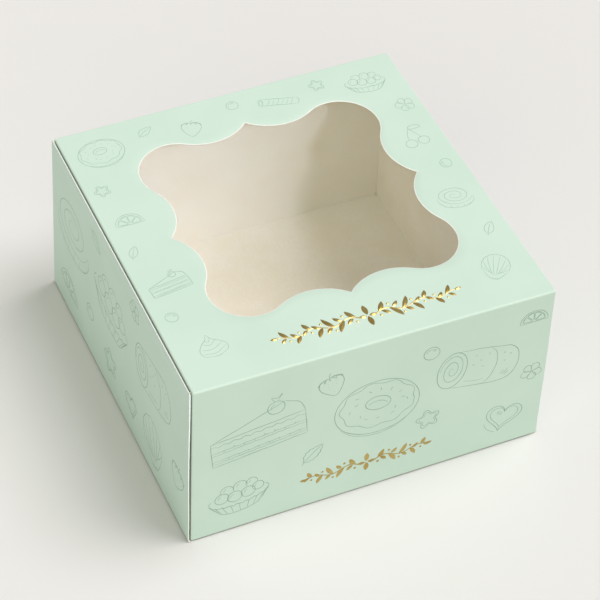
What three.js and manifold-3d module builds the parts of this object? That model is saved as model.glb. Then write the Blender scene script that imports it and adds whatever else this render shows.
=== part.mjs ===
// A small one-piece carton for pastries: a folded tray, a hinged lid with a shaped window, a front
// flap that hangs from the lid, and a clear film glued under the window.
// Millimetres, +Z up. The origin is the middle of the footprint, on the surface the box stands on.
// The front is towards -Y.

import * as THREE from "three";
import { mergeVertices } from "three/addons/utils/BufferGeometryUtils.js";
import Module from "manifold-3d";

const wasm = await Module();
wasm.setup();

// Driving dimensions
const WIDTH = 160;
const DEPTH = 163;
const HEIGHT = 86;
const BOARD = 0.5;
const FOLD_RADIUS = 0.6; // of the middle of the board, where it is creased
const FOLD_STEPS = 4;
const GAP = 0.3; // between boards that lie against each other
const SLIP = 0.6; // between a side wall and the lid that drops in beside it
const PAST = 1; // how far a cutting tool reaches past what it cuts

// The tray's own front wall, which stands behind the front flap
const FRONT_WALL_HEIGHT = 80;
const EAR_SLOT = 1.4; // between the end of the front wall and the side wall
const GLUE_TAB = { run: 13, jog: 2.5, length: 12, bottom: 1, top: 54 };

// The lid's side flaps tuck in along the side walls, and the front flap's ears do the same
const TUCK = { depth: 25, frontTaper: 23, backTaper: 13 };
const EAR = { length: 14, top: 83, topDrop: 17, bottom: 5, bottomRise: 9 };
const FLAP_BOTTOM = 0.6; // the front flap's cut edge clears the table by this

// The window: four round lobes on the corners, and a pair of inward bulges on each side that meet
// in a point. Four-fold symmetric about a centre that lies a little right of and behind the middle.
const WINDOW = { x: 2, y: 4.5, lobeCentre: 38.2, lobeRadius: 16.8, bulgeRadius: 23.9, point: 56.1 };
const ARC_STEP = Math.PI / 18;

const FILM = { side: 124, thickness: 0.2 };

const mint = new THREE.MeshStandardMaterial({ color: "#c9dfcf", roughness: 0.62, metalness: 0 });
const clear = new THREE.MeshStandardMaterial({
  color: "#f4f4f0",
  roughness: 0.08,
  metalness: 0,
  transparent: true,
  opacity: 0.2,
});

// Planes of the middle of each board
const half = BOARD / 2;
const sideX = WIDTH / 2 - half;
const backY = DEPTH / 2 - half;
const floorZ = half;
const lidZ = HEIGHT - half;
const lidX = WIDTH / 2 - BOARD - SLIP - half;
const flapY = -DEPTH / 2 + half;
const frontWallY = flapY + BOARD + GAP;
const frontWallX = WIDTH / 2 - BOARD - EAR_SLOT;
const lidUnderside = HEIGHT - BOARD;
const wallTop = lidUnderside - GAP;

/** Points on an arc, without its first point. */
function arc(cx, cy, radius, from, to) {
  const steps = Math.max(2, Math.ceil(Math.abs(to - from) / ARC_STEP));
  return Array.from({ length: steps }, (_, i) => {
    const angle = from + ((to - from) * (i + 1)) / steps;
    return new THREE.Vector2(cx + radius * Math.cos(angle), cy + radius * Math.sin(angle));
  });
}

/** One edge of a board that follows a path and is folded at its corners, offset to the left. */
function foldedEdge(path, offset) {
  const points = [];
  path.forEach((p, i) => {
    const into = i > 0 && p.clone().sub(path[i - 1]).normalize();
    const out = i < path.length - 1 && path[i + 1].clone().sub(p).normalize();
    if (!into || !out) {
      const along = into || out;
      points.push(p.clone().add(new THREE.Vector2(-along.y, along.x).multiplyScalar(offset)));
      return;
    }
    const turn = Math.atan2(into.x * out.y - into.y * out.x, into.dot(out));
    const side = Math.sign(turn);
    const start = p.clone().addScaledVector(into, -FOLD_RADIUS * Math.tan(Math.abs(turn) / 2));
    const centre = start.clone().add(new THREE.Vector2(-into.y, into.x).multiplyScalar(side * FOLD_RADIUS));
    const radius = FOLD_RADIUS - side * offset;
    const from = Math.atan2(into.y, into.x) - (side * Math.PI) / 2;
    for (let step = 0; step <= FOLD_STEPS; step++) {
      const angle = from + (turn * step) / FOLD_STEPS;
      points.push(new THREE.Vector2(Math.cos(angle), Math.sin(angle)).multiplyScalar(radius).add(centre));
    }
  });
  return points;
}

/** The outline of a folded board seen end on: the path of its middle, thickened both ways. */
function boardOutline(...pairs) {
  const path = pairs.map(([u, v]) => new THREE.Vector2(u, v));
  return [...foldedEdge(path, half), ...foldedEdge(path, -half).reverse()];
}

/** A rectangle whose corners are rounded to the outside of a fold where `rounded` says so. */
function foldedRectangle(u0, v0, u1, v1, rounded) {
  const radius = FOLD_RADIUS + half;
  const corners = [
    [u0, v0, 1, 1, Math.PI],
    [u1, v0, -1, 1, 1.5 * Math.PI],
    [u1, v1, -1, -1, 0],
    [u0, v1, 1, -1, 0.5 * Math.PI],
  ];
  return corners.flatMap(([u, v, du, dv, from], i) => {
    if (!rounded.includes(i)) return [new THREE.Vector2(u, v)];
    return Array.from({ length: FOLD_STEPS + 1 }, (_, step) => {
      const angle = from + (step * Math.PI) / 2 / FOLD_STEPS;
      return new THREE.Vector2(
        u + du * radius + radius * Math.cos(angle),
        v + dv * radius + radius * Math.sin(angle),
      );
    });
  });
}

/** Turns a closed geometry into a solid that can be joined and cut. */
function solid(geometry) {
  const bare = geometry.index ? geometry.toNonIndexed() : geometry.clone();
  bare.deleteAttribute("normal");
  bare.deleteAttribute("uv");
  const merged = mergeVertices(bare, 1e-4);
  return new wasm.Manifold(
    new wasm.Mesh({
      numProp: 3,
      vertProperties: new Float32Array(merged.attributes.position.array),
      triVerts: new Uint32Array(merged.index.array),
    }),
  );
}

// How a flat outline (u, v) and its extrusion w stand in space
const ALONG_Z = new THREE.Matrix4();
const ALONG_Y = new THREE.Matrix4().makeBasis(
  new THREE.Vector3(1, 0, 0),
  new THREE.Vector3(0, 0, 1),
  new THREE.Vector3(0, -1, 0),
);
const ALONG_X = new THREE.Matrix4().makeBasis(
  new THREE.Vector3(0, 1, 0),
  new THREE.Vector3(0, 0, 1),
  new THREE.Vector3(1, 0, 0),
);

/** Extrudes an outline between two places on an axis: XY outlines along Z, XZ along Y, YZ along X. */
function prism(outline, axis, from, to) {
  const geometry = new THREE.ExtrudeGeometry(new THREE.Shape(outline), {
    depth: to - from,
    bevelEnabled: false,
  });
  geometry.translate(0, 0, axis === ALONG_Y ? -to : from);
  geometry.applyMatrix4(axis);
  return solid(geometry);
}

/** A block between two corners. */
function block(x0, y0, z0, x1, y1, z1) {
  const geometry = new THREE.BoxGeometry(x1 - x0, y1 - y0, z1 - z0);
  geometry.translate((x0 + x1) / 2, (y0 + y1) / 2, (z0 + z1) / 2);
  return solid(geometry);
}

/** Turns a finished solid back into a mesh with a name and a material. */
function piece(name, shape, material) {
  const { numProp, vertProperties, triVerts } = shape.getMesh();
  const positions = new Float32Array((vertProperties.length / numProp) * 3);
  for (let i = 0; i < positions.length; i++) {
    positions[i] = vertProperties[Math.floor(i / 3) * numProp + (i % 3)];
  }
  const geometry = new THREE.BufferGeometry();
  geometry.setAttribute("position", new THREE.BufferAttribute(positions, 3));
  geometry.setIndex(new THREE.BufferAttribute(new Uint32Array(triVerts), 1));
  geometry.computeVertexNormals();
  const mesh = new THREE.Mesh(geometry, material);
  mesh.name = name;
  return mesh;
}

const polygon = (...pairs) => pairs.map(([u, v]) => new THREE.Vector2(u, v));

/** The bottom and the side walls. Only the walls reach the front; the bottom stops at the front fold. */
function sidesAndBottom() {
  const sheet = prism(
    boardOutline([-sideX, HEIGHT], [-sideX, floorZ], [sideX, floorZ], [sideX, HEIGHT]),
    ALONG_Y, -DEPTH / 2, DEPTH / 2,
  );
  const betweenWalls = block(
    -WIDTH / 2 + BOARD, -DEPTH / 2 - PAST, -PAST,
    WIDTH / 2 - BOARD, DEPTH / 2 + PAST, HEIGHT + PAST,
  );
  const behindFold = prism(
    foldedRectangle(frontWallY - half, 0, DEPTH / 2, HEIGHT + PAST, [0, 1]),
    ALONG_X, -WIDTH / 2, WIDTH / 2,
  );
  return sheet.subtract(betweenWalls.subtract(behindFold));
}

/** The right tab of the front wall: round its fold, back along the slot, then out to the side wall. */
function glueTab() {
  const jogStart = frontWallY + GLUE_TAB.run;
  const glueStart = jogStart + GLUE_TAB.jog;
  const tab = prism(
    boardOutline(
      [frontWallX - half - 2 * FOLD_RADIUS, frontWallY],
      [frontWallX - half, frontWallY],
      [frontWallX - half, jogStart],
      [sideX - BOARD, glueStart],
      [sideX - BOARD, glueStart + GLUE_TAB.length],
    ),
    ALONG_Z, GLUE_TAB.bottom, GLUE_TAB.top,
  );
  const glue = block(
    sideX - BOARD, glueStart + FOLD_RADIUS, GLUE_TAB.bottom,
    sideX, glueStart + GLUE_TAB.length, GLUE_TAB.top,
  );
  return tab.add(glue);
}

/** The base: bottom, back, two sides, and a front wall whose tabs are glued to the sides. */
function tray() {
  const frontToBack = prism(
    boardOutline([frontWallY, FRONT_WALL_HEIGHT], [frontWallY, floorZ], [backY, floorZ], [backY, wallTop]),
    ALONG_X, -frontWallX, frontWallX,
  );
  const backCorners = prism(
    boardOutline([0, floorZ], [backY, floorZ], [backY, wallTop]),
    ALONG_X, -sideX, sideX,
  );
  const footprint = prism(
    foldedRectangle(-WIDTH / 2, -DEPTH / 2, WIDTH / 2, DEPTH / 2, [2, 3]),
    ALONG_Z, 0, HEIGHT,
  );
  const profile = prism(
    foldedRectangle(-DEPTH / 2, 0, DEPTH / 2, HEIGHT, [1]),
    ALONG_X, -WIDTH / 2, WIDTH / 2,
  );
  const rightTab = glueTab();
  return sidesAndBottom()
    .add(frontToBack)
    .add(backCorners)
    .add(rightTab)
    .add(rightTab.mirror([1, 0, 0]))
    .intersect(footprint)
    .intersect(profile);
}

/** The window's outline, one quarter at a time, from the point on +X round to +X again. */
function windowOutline() {
  const { lobeCentre: a, lobeRadius: r, bulgeRadius: R, point: c } = WINDOW;
  // A bulge's centre is R from the point (c, 0) and R + r from the lobe's centre (a, a)
  const gap = Math.hypot(a - c, a);
  const along = (R ** 2 - (R + r) ** 2 + gap ** 2) / (2 * gap);
  const aside = Math.sqrt(R ** 2 - along ** 2);
  const far = c + (along * (a - c) + aside * a) / gap;
  const near = (along * a - aside * (a - c)) / gap;
  const meet = Math.atan2(a - near, a - far);
  const pointAngle = Math.atan2(-near, c - far) + 2 * Math.PI;
  const quarter = [
    ...arc(far, near, R, pointAngle, meet),
    ...arc(a, a, r, meet - Math.PI, 1.5 * Math.PI - meet),
    ...arc(near, far, R, -meet + Math.PI / 2, 0.5 * Math.PI - pointAngle),
  ];
  return [0, 1, 2, 3].flatMap((turn) =>
    quarter.map((p) =>
      p.clone()
        .rotateAround(new THREE.Vector2(), (turn * Math.PI) / 2)
        .add(new THREE.Vector2(WINDOW.x, WINDOW.y)),
    ),
  );
}

/** The lid: the top panel with its window, and the tapered side flaps that tuck into the tray. */
function lid() {
  const tuckBottom = HEIGHT - TUCK.depth;
  const folded = prism(
    boardOutline([-lidX, tuckBottom], [-lidX, lidZ], [lidX, lidZ], [lidX, tuckBottom]),
    ALONG_Y, -DEPTH / 2, DEPTH / 2,
  );
  const front = -DEPTH / 2 + BOARD + GAP;
  const back = DEPTH / 2 - BOARD - GAP;
  const frontTaper = prism(
    polygon(
      [-DEPTH / 2 - PAST, tuckBottom - PAST],
      [front + TUCK.frontTaper, tuckBottom - PAST],
      [front, lidUnderside],
      [-DEPTH / 2 - PAST, lidUnderside],
    ),
    ALONG_X, -WIDTH / 2, WIDTH / 2,
  );
  const backTaper = prism(
    polygon(
      [back - TUCK.backTaper, tuckBottom - PAST],
      [DEPTH / 2 + PAST, tuckBottom - PAST],
      [DEPTH / 2 + PAST, lidUnderside],
      [back, lidUnderside],
    ),
    ALONG_X, -WIDTH / 2, WIDTH / 2,
  );
  const creases = prism(
    foldedRectangle(-DEPTH / 2, tuckBottom - PAST, DEPTH / 2, HEIGHT, [2, 3]),
    ALONG_X, -WIDTH / 2, WIDTH / 2,
  );
  const opening = prism(windowOutline(), ALONG_Z, lidUnderside - PAST, HEIGHT + PAST);
  return folded.subtract(frontTaper).subtract(backTaper).intersect(creases).subtract(opening);
}

/** The front flap: the panel that covers the front, and the ears that slide in beside the walls. */
function frontFlap() {
  const earEnd = -DEPTH / 2 + EAR.length;
  const earRoot = -DEPTH / 2 + FOLD_RADIUS + half;
  const folded = prism(
    boardOutline([-lidX, earEnd], [-lidX, flapY], [lidX, flapY], [lidX, earEnd]),
    ALONG_Z, FLAP_BOTTOM, wallTop,
  );
  const above = prism(
    polygon(
      [earRoot, EAR.top],
      [earEnd + PAST, EAR.top - EAR.topDrop],
      [earEnd + PAST, HEIGHT],
      [earRoot, HEIGHT],
    ),
    ALONG_X, -WIDTH / 2, WIDTH / 2,
  );
  const below = prism(
    polygon(
      [earRoot, EAR.bottom],
      [earRoot, -PAST],
      [earEnd + PAST, -PAST],
      [earEnd + PAST, EAR.bottom + EAR.bottomRise],
    ),
    ALONG_X, -WIDTH / 2, WIDTH / 2,
  );
  return folded.subtract(above).subtract(below);
}

/** The clear sheet glued under the lid, round the window. */
function windowFilm() {
  const top = wallTop;
  const reach = FILM.side / 2;
  return block(
    WINDOW.x - reach, WINDOW.y - reach, top - FILM.thickness,
    WINDOW.x + reach, WINDOW.y + reach, top,
  );
}

const box = new THREE.Group();
box.name = "pastry_box";
box.add(piece("tray", tray(), mint));

const hinged = new THREE.Group();
hinged.name = "hinged_lid";
hinged.add(piece("lid", lid(), mint));
hinged.add(piece("front_flap", frontFlap(), mint));
hinged.add(piece("window_film", windowFilm(), clear));
box.add(hinged);

export default box;
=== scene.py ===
"""A small pastry carton of mint printed folding board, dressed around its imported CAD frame.

The board is modelled as its outer face: flat panels joined by quarter-round creases, worked out as
numpy grids, welded and given the board's thickness, with the coated face outside, the bare face
inside and the cut edge between them. The line print and the hot-stamped gold lie on the panels.
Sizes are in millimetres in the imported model's frame: +Z up, the front towards -Y.
"""

from __future__ import annotations

import logging
import math
from collections.abc import Callable, Iterable, Sequence
from dataclasses import dataclass, field
from enum import Enum

import bmesh
import bpy
import numpy as np
from bpy.types import Material, NodeSocket, NodeTree, Object
from mathutils import Matrix, Vector


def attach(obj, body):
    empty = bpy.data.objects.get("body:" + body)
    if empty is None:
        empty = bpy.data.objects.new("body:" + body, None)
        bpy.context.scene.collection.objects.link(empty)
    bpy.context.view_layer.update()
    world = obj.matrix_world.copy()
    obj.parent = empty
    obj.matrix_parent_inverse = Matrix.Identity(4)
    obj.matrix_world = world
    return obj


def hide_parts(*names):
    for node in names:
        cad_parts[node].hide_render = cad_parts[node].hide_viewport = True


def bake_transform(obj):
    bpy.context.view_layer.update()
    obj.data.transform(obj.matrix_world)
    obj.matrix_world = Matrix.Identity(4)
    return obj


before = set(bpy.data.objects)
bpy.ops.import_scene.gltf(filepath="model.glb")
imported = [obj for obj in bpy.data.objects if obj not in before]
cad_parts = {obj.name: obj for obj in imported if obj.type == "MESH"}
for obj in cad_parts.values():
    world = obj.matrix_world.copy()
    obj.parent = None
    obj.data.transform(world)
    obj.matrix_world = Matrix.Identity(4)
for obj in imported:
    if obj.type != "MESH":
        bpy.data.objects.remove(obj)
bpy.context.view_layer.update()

LOG = logging.getLogger("pastry_box")
MM = 0.001
Array = np.ndarray
Pair = tuple[float, float]
Point = tuple[float, float, float]
Sockets = dict[str | int, object]


# Colours, shader nodes and finishes


def srgb(code: str) -> tuple[float, ...]:
    """Linear red, green, blue and an alpha of 1 for an sRGB hex colour such as "#d6eade"."""
    parts = [int(code[i : i + 2], 16) / 255 for i in (1, 3, 5)]
    return (*(c / 12.92 if c <= 0.04045 else ((c + 0.055) / 1.055) ** 2.4 for c in parts), 1.0)


def add_node(tree: NodeTree, kind: str, sockets: Sockets | None = None, out: str | int = 0,
             **settings: object) -> NodeSocket | None:
    """Adds a node, sets its options, and fills or links its input sockets.

    Args:
        tree: the material's node tree.
        kind: the node's type without the ShaderNode prefix.
        sockets: input name or number to a value, or to the output socket that feeds it.
        out: the name or number of the output that is wanted.
        **settings: the node's own properties.

    Returns:
        That output socket, or None for a node that has none.
    """
    node = tree.nodes.new("ShaderNode" + kind)
    for name, value in settings.items():
        setattr(node, name, value)
    for key, value in (sockets or {}).items():
        if isinstance(value, NodeSocket):
            tree.links.new(value, node.inputs[key])
        else:
            node.inputs[key].default_value = value
    return node.outputs[out] if len(node.outputs) else None


def fineness(period_mm: float) -> float:
    """The scale of a noise whose coarsest grains are about period_mm wide."""
    return 1 / (period_mm * MM)


def toned(tree: NodeTree, value: NodeSocket, span: Pair, tones: tuple[str, str]) -> NodeSocket:
    """The colour that goes from one hex tone to the other while a value crosses a span."""
    share = add_node(tree, "MapRange", {"Value": value, 1: span[0], 2: span[1]})
    return add_node(tree, "Mix", {0: share, 6: srgb(tones[0]), 7: srgb(tones[1])}, 2, data_type="RGBA")


def painted_slot_shade(tree: NodeTree, colour: object, reach_mm: float, share: float, open_span: Pair,
           **settings: object) -> NodeSocket:
    """A colour darkened by ambient occlusion in slots and corners: painted shade.

    Args:
        tree: the material's node tree.
        colour: the colour, as a socket or as red, green and blue.
        reach_mm: how near another surface has to be.
        share: what is left of the colour in the depth of a slot.
        open_span: how open a place is where only that is left, and where all the colour is.
        **settings: options of the occlusion node.

    Returns:
        The colour scaled by that share.
    """
    # painted shade: ambient occlusion scales the base colour itself down
    air = add_node(tree, "AmbientOcclusion", {"Distance": reach_mm * MM}, "AO", samples=8, **settings)
    unshaded_share = add_node(tree, "MapRange", {"Value": air, 1: open_span[0], 2: open_span[1], 3: share, 4: 1.0})
    return add_node(tree, "VectorMath", {0: colour, "Scale": unshaded_share}, operation="SCALE")


@dataclass(frozen=True)
class Finish:
    """A material, round one Principled shader whose sockets each kind of finish fills."""

    name: str

    def sockets(self, tree: NodeTree) -> Sockets:
        """The shader's inputs, as values or as the nodes that feed them."""
        raise NotImplementedError

    def material(self) -> Material:
        """Makes the material."""
        made = bpy.data.materials.new(self.name)
        made.use_nodes = True
        made.node_tree.nodes.clear()
        shader = add_node(made.node_tree, "BsdfPrincipled", self.sockets(made.node_tree))
        add_node(made.node_tree, "OutputMaterial", {"Surface": shader})
        return made


@dataclass(frozen=True)
class CoatedBoard(Finish):
    """Clay-coated folding boxboard, offset printed in one flat mint and given a satin varnish.

    The varnish gives a broad soft gloss. Where the board is creased, the coat is stretched and
    the print turns paler; that paler band is also a painted highlight along the fold. The calendered
    fibres leave a faint orange peel under the varnish.
    """

    name: str = "coated_boxboard_mint"
    mint: tuple[str, str] = ("#d8ece1", "#d4e9dd")
    # the creases' paler mint: stretched coat, and a painted highlight
    stretched: str = "#e1f2e8"
    mottle_mm: float = 34.0
    fleck_mm: float = 0.9
    peel_mm: float = 1.1
    # the reach and the remaining share of the painted shade in slots
    slot_mm: float = 2.5
    slot_share: float = 0.48

    def sockets(self, tree: NodeTree) -> Sockets:
        """Mint that drifts a little, paler in flecks along a crease, with painted shade in slots, over the
        peel's bump.
        """
        place = add_node(tree, "TexCoord", out="Object")
        mottle, fleck, peel = (
            add_node(tree, "TexNoise", {"Vector": place, "Scale": fineness(period), "Detail": detail})
            for period, detail in ((self.mottle_mm, 2.0), (self.fleck_mm, 3.0), (self.peel_mm, 1.5))
        )
        crease = add_node(tree, "Attribute", out="Fac", attribute_name="crease")
        broken = add_node(tree, "MapRange", {"Value": fleck, 1: 0.3, 2: 0.7, 3: 0.35, 4: 0.9})
        # paler along the creases: stress whitening and painted highlight
        pale_crease_share = add_node(tree, "Math", {0: crease, 1: broken}, operation="MULTIPLY")
        ink = toned(tree, mottle, (0.35, 0.65), self.mint)
        colour = add_node(tree, "Mix", {0: pale_crease_share, 6: ink, 7: srgb(self.stretched)}, 2, data_type="RGBA")
        return {
            # painted shade: the mint darkens in slots and corners, such as the gap beside the side walls
            "Base Color": painted_slot_shade(tree, colour, self.slot_mm, self.slot_share, (0.15, 0.6)),
            "Roughness": 0.48,
            "IOR": 1.5,
            "Specular IOR Level": 0.06,
            "Normal": add_node(tree, "Bump", {"Height": peel, "Strength": 0.05, "Distance": 0.05 * MM}),
        }


@dataclass(frozen=True)
class BareBoard(Finish):
    """The uncoated back of the board: bleached fibre, matt, warm white, with short fibres in it."""

    name: str = "uncoated_board_back"
    tones: tuple[str, str] = ("#f7eedc", "#faf4e7")
    fibre_mm: float = 0.7
    cloud_mm: float = 18.0
    # the reach and the remaining share of the painted shade in slots
    slot_mm: float = 2.5
    slot_share: float = 0.42

    def sockets(self, tree: NodeTree) -> Sockets:
        """The fibres are noise squeezed along the sheet's grain, times slow clouds, with painted shade in
        slots.
        """
        place = add_node(tree, "TexCoord", out="Object")
        grain = add_node(tree, "Mapping", {"Vector": place, "Scale": (1.0, 0.25, 1.0)})
        fibres = add_node(
            tree, "TexNoise", {"Vector": grain, "Scale": fineness(self.fibre_mm), "Detail": 3.0}
        )
        cloud = add_node(tree, "TexNoise", {"Vector": place, "Scale": fineness(self.cloud_mm)})
        both = add_node(tree, "Math", {0: fibres, 1: cloud}, operation="MULTIPLY")
        colour = toned(tree, both, (0.15, 0.35), self.tones)
        return {
            # painted shade in slots; only this sheet's own faces count, so the film casts none
            "Base Color": painted_slot_shade(tree, colour, self.slot_mm, self.slot_share, (0.15, 0.55), only_local=True),
            "Roughness": 0.9,
            "IOR": 1.5,
            "Specular IOR Level": 0.25,
            "Normal": add_node(tree, "Bump", {"Height": fibres, "Strength": 0.1, "Distance": 0.05 * MM}),
        }


@dataclass(frozen=True)
class CutEdge(Finish):
    """The die-cut edge of the board: torn white fibre, rough, and painted darker where it faces up."""

    name: str = "die_cut_board_edge"
    tones: tuple[str, str] = ("#e0e3d9", "#e9ebe3")
    # the share of the colour left where the edge faces straight up: painted shade
    upward_shade: float = 0.76
    ply_mm: float = 0.4

    def sockets(self, tree: NodeTree) -> Sockets:
        """Fuzz as fine as a ply, with painted shade that darkens it to the upward share as the normal turns
        up.
        """
        place = add_node(tree, "TexCoord", out="Object")
        fuzz = add_node(tree, "TexNoise", {"Vector": place, "Scale": fineness(self.ply_mm), "Detail": 3.0})
        normal = add_node(tree, "TexCoord", out="Normal")
        upward = add_node(tree, "SeparateXYZ", {"Vector": normal}, "Z")
        # painted shade: the edge darkens as its normal turns up
        upward_dim = add_node(tree, "MapRange", {"Value": upward, 1: 0.4, 2: 0.9, 3: 1.0, 4: self.upward_shade})
        colour = toned(tree, fuzz, (0.3, 0.6), self.tones)
        return {
            "Base Color": add_node(tree, "VectorMath", {0: colour, "Scale": upward_dim}, operation="SCALE"),
            "Roughness": 0.95,
            "IOR": 1.5,
            "Specular IOR Level": 0.2,
            "Normal": add_node(tree, "Bump", {"Height": fuzz, "Strength": 0.4, "Distance": 0.1 * MM}),
        }


@dataclass(frozen=True)
class ClearFilm(Finish):
    """Clear PET film, cast and stretched: glass-like gloss and hardly any colour."""

    name: str = "clear_pet_film"

    def sockets(self, tree: NodeTree) -> Sockets:
        """A nearly clear sheet."""
        return {"Base Color": srgb("#fbfaf4"), "Roughness": 0.07, "IOR": 1.57, "Alpha": 0.05}


@dataclass(frozen=True)
class LineInk(Finish):
    """A thin offset ink, printed over the mint: grey green, matt, a little uneven along a line."""

    name: str = "offset_line_ink"
    tones: tuple[str, str] = ("#8aab98", "#9dbcaa")
    uneven_mm: float = 5.0

    def sockets(self, tree: NodeTree) -> Sockets:
        """Two greens that drift into each other."""
        place = add_node(tree, "TexCoord", out="Object")
        cloud = add_node(
            tree, "TexNoise", {"Vector": place, "Scale": fineness(self.uneven_mm), "Detail": 3.0}
        )
        return {"Base Color": toned(tree, cloud, (0.3, 0.7), self.tones), "Roughness": 0.55, "IOR": 1.5}


@dataclass(frozen=True)
class GoldFoil(Finish):
    """Hot-stamped gold foil over embossing: metallised lacquer, bright, with a slight grain."""

    name: str = "hot_stamped_gold_foil"
    tones: tuple[str, str] = ("#c6b172", "#b79a55")
    grain_mm: float = 0.6
    cloud_mm: float = 7.0

    def sockets(self, tree: NodeTree) -> Sockets:
        """Slow clouds of a warmer gold over a fine bump."""
        place = add_node(tree, "TexCoord", out="Object")
        grain, cloud = (
            add_node(tree, "TexNoise", {"Vector": place, "Scale": fineness(period)})
            for period in (self.grain_mm, self.cloud_mm)
        )
        return {
            "Base Color": toned(tree, cloud, (0.3, 0.7), self.tones),
            "Metallic": 1.0,
            "Roughness": 0.32,
            "Normal": add_node(tree, "Bump", {"Height": grain, "Strength": 0.15, "Distance": 0.04 * MM}),
        }


@dataclass(frozen=True)
class FloorPaper(Finish):
    """Matt, faintly warm photographic paper, with a painted contact shadow where something stands on it."""

    name: str = "matt_paper_floor"
    contact_mm: float = 1.6
    contact_share: float = 0.35

    def sockets(self, tree: NodeTree) -> Sockets:
        """Plain paper with a painted contact shadow."""
        paper = srgb("#ebe8e9")[:3]
        # painted shadow: the paper darkens by occlusion next to the box
        colour = painted_slot_shade(tree, paper, self.contact_mm, self.contact_share, (0.1, 0.6))
        return {"Base Color": colour, "Roughness": 0.9, "IOR": 1.45, "Specular IOR Level": 0.2}


# The board and how it is folded


@dataclass(frozen=True)
class Board:
    """The folding board and the sizes of the whole carton, in mm."""

    side: float = 80.0  # the outer planes of the side walls, the back wall and the front flap
    back: float = 81.5
    front: float = -81.5
    height: float = 86.0
    thickness: float = 0.5
    fold: float = 0.85  # radius of a crease's outer face
    support: float = 0.18  # a narrow row beside each crease, which keeps the flat panel's shading flat
    fold_steps: int = 8
    spacing: float = 4.0
    # the side creases' paling is stress whitening and painted highlight
    side_crease_pale: float = 0.25  # how much the side creases pale, 1 being a sharp crease
    hinge_line: float = 84.0  # where the back wall passes into the hinged lid's crease
    flap_line: float = -79.5  # where the lid passes into the front flap's crease
    window: Pair = (2.0, 4.5)
    lid_edges: Pair = (77.8, 78.95)  # where lid and flap bend down, left and right
    tuck_in: Pair = (0.0, 0.5)  # how far they step in below that crease's bead
    tuck_run: float = 0.9
    near_crease: tuple[float, ...] = tuple(0.15 * np.arange(2, 7))  # close rows, which round that step

    def crease(self) -> tuple[Array, Array, Array]:
        """A crease's quarter round: fold times sine and cosine, and its strain, sine of twice the turn."""
        turn = np.linspace(0, math.pi / 2, self.fold_steps + 1)
        return self.fold * np.sin(turn), self.fold * np.cos(turn), np.sin(2 * turn)

    def tucked(self, side: int, past: Array) -> Array:
        """Places across the box of a tucked panel: a smoothstep from the crease's bead inwards.

        Args:
            side: 0 for the left and 1 for the right.
            past: how far past the crease, in mm.

        Returns:
            The distances from the box's middle plane.
        """
        t = np.clip(past / self.tuck_run, 0, 1)
        return self.lid_edges[side] + self.fold - self.tuck_in[side] * t * t * (3 - 2 * t)


def stations(low: float, high: float, spacing: float, support: float = 0.0,
             also: Iterable[float] = ()) -> Array:
    """Places from low to high about spacing apart, with a close pair at both ends.

    Args:
        low, high: the ends, in mm.
        spacing: the widest gap allowed.
        support: how far inside each end a further place lies; 0 for none.
        also: places that have to be among them.

    Returns:
        The sorted places.
    """
    fixed = sorted({low, high, *also, *((low + support, high - support) if support else ())})
    gaps = zip(fixed, fixed[1:])
    runs = [np.linspace(a, b, max(1, math.ceil((b - a) / spacing)) + 1)[:-1] for a, b in gaps]
    return np.concatenate([*runs, [high]])


def ramp(value: Array, start: float, length: float) -> Array:
    """0 up to start, then evenly up to 1 over a length."""
    return np.clip((value - start) / length, 0, 1)


@dataclass(frozen=True)
class Warp:
    """How the empty board gives: panels bow between their creases, and the corners aren't quite square.

    One smooth function of place moves everything, so that board, film and print stay together. The
    skews are how far each corner, (across, along) in mm, has slipped: back left, back right, front
    right and front left.
    """

    lid_sag: float = 0.25
    front_bow: float = 0.3
    side_bow: float = 0.35
    lip: float = 0.22  # how far the side walls' free lip leans, over lip_length from the front
    lip_length: float = 26.0
    lip_foot: float = 14.0  # it leans in below this height and out over lip_rise above it
    lip_rise: float = 58.0
    top_skew: tuple[Pair, ...] = ((0.78, -1.26), (-0.35, 0.26), (0.0, -0.36), (0.16, 1.04))
    bottom_skew: tuple[Pair, ...] = ((-0.23, 0.92), (0.0, 0.2), (0.6, 0.3), (-0.96, -0.89))
    lid_zone: Pair = (80.0, 5.0)  # where each bow starts, and over what length it grows full
    front_zone: Pair = (79.6, 1.3)
    side_zone: Pair = (79.1, 0.4)
    board: Board = field(default_factory=Board)

    def move(self, points: Array) -> Array:
        """Adds the bow to points.

        The lid sinks by a cosine bell across its width and depth; the front and the side walls
        swell outwards by a cosine bell along them and a sine over their height, and near the front
        the side walls' free lip also leans out and in by a slow wave. The eight corners' skews are
        blended in proportion to how near each corner is along x, y and z.

        Args:
            points: places (n, 3) in mm.

        Returns:
            The places where the warped board holds them.
        """
        box = self.board
        x, y, z = points.T
        across, along, high = x / (2 * box.side), y / (2 * box.back), z / box.height
        bell_x, bell_y = (np.cos(math.pi * np.clip(share, -0.5, 0.5)) for share in (across, along))
        up = np.sin(math.pi * np.clip(high, 0, 1))
        wave = np.sin(math.pi * (z - self.lip_foot) / self.lip_rise)
        lip = np.exp(-(y + box.back) / self.lip_length) * wave * up
        moved = points.copy()
        moved[:, 2] -= self.lid_sag * bell_x * bell_y * ramp(z, *self.lid_zone)
        moved[:, 1] -= self.front_bow * bell_x * up * ramp(-y, *self.front_zone)
        swell = self.side_bow * bell_y * up + self.lip * lip
        moved[:, 0] += np.sign(x) * ramp(np.abs(x), *self.side_zone) * swell
        east, north, high = across + 0.5, along + 0.5, high[:, None]
        near = np.stack([(1 - east) * north, east * north, east * (1 - north), (1 - east) * (1 - north)], 1)
        moved[:, :2] += near @ np.array(self.top_skew) * high + near @ np.array(self.bottom_skew) * (1 - high)
        return moved


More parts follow.
